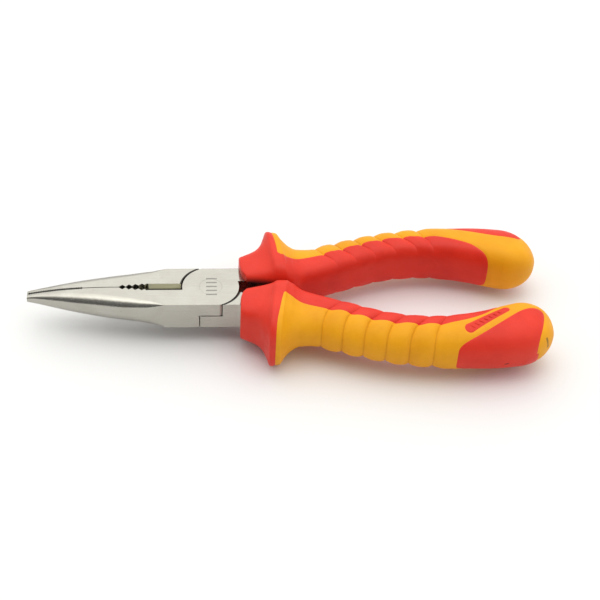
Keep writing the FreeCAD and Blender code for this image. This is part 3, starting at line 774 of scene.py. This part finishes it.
bars = []
for k in range(7):
    s = 0.9 + k * 1.72
    wid = 0.94 - 0.055 * k
    c = b_a + b_ux * s
    dirv = 0.90 * b_uy + 0.43 * b_ux
    dirv = dirv / np.linalg.norm(dirv)
    side = np.array([-dirv[1], dirv[0]])
    nl, nw = 13, 9
    tl = np.linspace(-1, 1, nl)
    tw = np.linspace(-1, 1, nw)
    top = np.zeros((nl, nw, 3))
    for a_i, tt in enumerate(tl):
        for b_i, ww in enumerate(tw):
            hw = 0.27 * math.sqrt(max(0.0, 1 - max(0.0, (abs(tt) - 0.75) / 0.25) ** 2)) + 0.004
            p = c + dirv * tt * wid + side * ww * hw
            h = 0.20 * max(0.0, 1 - abs(ww) ** 3) * max(0.0, 1 - max(0.0, (abs(tt) - 0.7) / 0.3) ** 2)
            top[a_i, b_i] = (p[0], p[1], float(face_z(np.array(p[0]), np.array(p[1]))) - h - 0.02)
    low = top.copy()
    low[..., 2] = top[..., 2] + 0.6 + (top[..., 2].min() - top[..., 2]) * 0.2
    v = np.concatenate([top.reshape(-1, 3), low.reshape(-1, 3)])
    off = nl * nw
    f = []
    for a_i in range(nl - 1):
        for b_i in range(nw - 1):
            q = a_i * nw + b_i
            f.append([q, q + 1, q + nw + 1, q + nw])
            f.append([off + q, off + q + nw, off + q + nw + 1, off + q + 1])
    rim = [b_i for b_i in range(nw)] + [a_i * nw + nw - 1 for a_i in range(1, nl)] \
        + [(nl - 1) * nw + b_i for b_i in range(nw - 2, -1, -1)] + [a_i * nw for a_i in range(nl - 2, 0, -1)]
    for r_ in range(len(rim)):
        a0, a1 = rim[r_], rim[(r_ + 1) % len(rim)]
        f.append([a0, off + a0, off + a1, a1])
    me = bpy.data.meshes.new("bar")
    me.from_pydata(to_row(v).tolist(), [], f)
    ob = bpy.data.objects.new("bar%d" % k, me)
    scene.collection.objects.link(ob)
    fix_normals(ob)
    bars.append(ob)
for b_ob in bars:
    boolean(badge, b_ob, "UNION")
drop(*bars)

FLIP = Matrix.Translation(Vector(PIV)) @ Matrix.Rotation(math.pi, 4, "X") @ Matrix.Translation(-Vector(PIV))


def clean(ob, angle=38.0):
    # weld the slivers the Booleans leave and triangulate, with the largest distance that keeps the mesh closed and unpinched
    best = None
    for dist, how in [(d, h) for d in (2e-6, 1e-6, 5e-7, 2e-7, 1e-7, 0.0) for h in ("BEAUTY", "EAR_CLIP")]:
        bm = bmesh.new()
        bm.from_mesh(ob.data)
        if dist:
            bmesh.ops.remove_doubles(bm, verts=bm.verts, dist=dist)
            bmesh.ops.dissolve_degenerate(bm, edges=bm.edges, dist=dist)
        bmesh.ops.triangulate(bm, faces=bm.faces, quad_method="BEAUTY", ngon_method=how)
        bm.verts.index_update()
        # a folded sliver leaves two faces on the same three corners: take both away
        seen = {}
        for f in bm.faces:
            seen.setdefault(tuple(sorted(v.index for v in f.verts)), []).append(f)
        folded = [f for fs in seen.values() if len(fs) == 2 for f in fs]
        bmesh.ops.delete(bm, geom=folded, context="FACES")
        bad = sum(not e.is_manifold for e in bm.edges)
        if best is None or bad < best[0]:
            if best:
                best[1].free()
            best = (bad, bm, dist, how)
        else:
            bm.free()
        if bad == 0:
            break
    print("clean", ob.name, "weld", best[2], best[3], "edges not manifold", best[0])
    best[1].to_mesh(ob.data)
    best[1].free()
    ob.data.shade_smooth()
    ob.data.set_sharp_from_angle(angle=math.radians(angle))


def place(src, name, mat, body, cad, flip):
    ob = copy(src, name)
    if flip:
        ob.data.transform(FLIP)
    ob.data.materials.clear()
    ob.data.materials.append(mat)
    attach(ob, body)
    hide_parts(cad)
    return ob


for o in (core, soft, pad, badge):
    clean(o)

red_mat = moulded("red_hard_plastic", *RED, rough=0.44, spec=0.27, gap_shade=True)
pad_mat = moulded("red_inlay_plastic", *RED, rough=0.47, grain=4300.0, spec=0.27)
pad_mat_low = moulded("red_inlay_plastic_nicked", *RED, rough=0.47, grain=4300.0, spec=0.27,
                      marks=[(to_row((87.7, -27.9, -2.3)), to_row((88.5, -27.8, -2.1)), 0.0005, (0.12, 0.004, 0.003), 0.8),
                             (to_row((94.4, -25.9, -4.7)), to_row((95.3, -25.6, -4.6)), 0.0005, (0.12, 0.004, 0.003), 0.8)])
yel_mat = moulded("yellow_soft_grip", *YEL, rough=0.50, grain=4300.0, spec=0.2)
gate = (to_row((100.2, -23.1, 3.6)), to_row((100.87, -23.3, 0.7)))
yel_mat_low = moulded("yellow_soft_grip_scuffed", *YEL, rough=0.50, grain=4300.0, spec=0.2,
                      marks=[(gate[0], gate[1], 0.0006, (0.10, 0.06, 0.02), 0.8)])

pieces = {}
for side, flip, body_name in (("upper", False, "lower_jaw_arm"), ("lower", True, "upper_jaw_arm")):
    pieces[side + "_core"] = place(core, side + "_handle_sleeve", red_mat, body_name, side + "_handle_core", flip)
    pieces[side + "_soft"] = place(soft, side + "_handle_ribbed_grip", yel_mat_low if flip else yel_mat, body_name,
                                   side + "_handle_soft_grip", flip)
    pieces[side + "_pad"] = place(pad, side + "_tail_pad", pad_mat_low if flip else pad_mat, body_name, side + "_tail_inlay", flip)
    pieces[side + "_badge"] = place(badge, side + "_badge_plate", pad_mat, body_name, side + "_badge_inlay", flip)
drop(core, soft, pad, badge, outer, inner, inner_in, red_zone, pad_zone, pad_zone_hi, badge_zone, red_zone_hi, open_side, tang)

# ======================================================================= steel (CAD nodes)
steel_marked = steel_mat("satin_steel_marked", True, -1.0)
steel_plain = steel_mat("satin_steel")
for name, mat in (("lower_jaw_half", steel_marked), ("upper_jaw_half", steel_plain), ("pivot_rivet", steel_marked)):
    o = nodes[name]
    o.data.materials.clear()
    o.data.materials.append(mat)

# ================================================================== floor, light, world
fl = bpy.data.meshes.new("floor")
bm = bmesh.new()
bmesh.ops.create_grid(bm, x_segments=4, y_segments=4, size=3.0)
bm.to_mesh(fl)
bm.free()
floor = bpy.data.objects.new("floor", fl)
scene.collection.objects.link(floor)
floor.location = (0, 0, -0.0002)
fm, fnt, fb = new_mat("floor_paper")
fv = obj_coords(fnt)
fcol = ramp(fnt, noise(fnt, fv, 3.0, 3.0), [(0.3, (0.79, 0.79, 0.79)), (0.7, (0.81, 0.81, 0.81))])
fnt.links.new(fcol, fb.inputs["Base Color"])
fb.inputs["Roughness"].default_value = 0.9
fb.inputs["Specular IOR Level"].default_value = 0.2
fl.materials.append(fm)


def area(name, loc, target, size, power, color=(1, 1, 1), size_y=None):
    l = bpy.data.lights.new(name, "AREA")
    l.energy = power
    l.color = color
    l.shape = "RECTANGLE" if size_y else "SQUARE"
    l.size = size
    if size_y:
        l.size_y = size_y
    o = bpy.data.objects.new(name, l)
    scene.collection.objects.link(o)
    o.location = loc
    o.rotation_euler = (Vector(target) - Vector(loc)).to_track_quat("-Z", "Y").to_euler()
    return o


world = bpy.data.worlds.new("studio")
scene.world = world
world.use_nodes = True
wn = world.node_tree
wn.nodes.clear()
wout = node(wn, "ShaderNodeOutputWorld")
wbg = node(wn, "ShaderNodeBackground")
wn.links.new(wbg.outputs[0], wout.inputs[0])
wtc = node(wn, "ShaderNodeTexCoord")


def toward(direction, lo, hi, a, b):
    """Smooth patch of the sky round one direction."""
    d = node(wn, "ShaderNodeVectorMath", operation="DOT_PRODUCT")
    wn.links.new(wtc.outputs["Generated"], d.inputs[0])
    d.inputs[1].default_value = Vector(direction).normalized()
    r = maprange(wn, d.outputs["Value"], lo, hi, a, b)
    r.node.interpolation_type = "SMOOTHSTEP"
    return r


wsep = node(wn, "ShaderNodeSeparateXYZ")
wn.links.new(wtc.outputs["Generated"], wsep.inputs[0])
sky = ramp(wn, maprange(wn, wsep.outputs["Z"], -1.0, 1.0, 0.0, 1.0),
           [(0.0, (0.14,) * 3), (0.49, (0.15,) * 3), (0.60, (0.22, 0.22, 0.218)), (0.78, (0.34, 0.34, 0.335)), (0.86, (0.42, 0.42, 0.41)),
            (0.93, (0.48, 0.48, 0.47)), (0.975, (0.64, 0.635, 0.62)), (1.0, (0.88, 0.87, 0.85))])
dark = toward((-0.26, -math.cos(math.radians(27)), math.sin(math.radians(27))), 0.64, 0.91, 1.0, 0.20)
back = toward((0.0, math.cos(math.radians(42)), math.sin(math.radians(42))), 0.80, 0.97, 1.0, 1.22)
dark = math_node(wn, "MULTIPLY", dark, back)
sky = mix_col(wn, 1.0, sky, (1.0, 1.0, 1.0), "MULTIPLY")
mul = node(wn, "ShaderNodeVectorMath", operation="SCALE")
wn.links.new(sky, mul.inputs[0])
wn.links.new(dark, mul.inputs["Scale"])
wn.links.new(mul.outputs[0], wbg.inputs["Color"])
wbg.inputs["Strength"].default_value = 3.4

scene.view_settings.view_transform = "Standard"
scene.view_settings.look = "None"
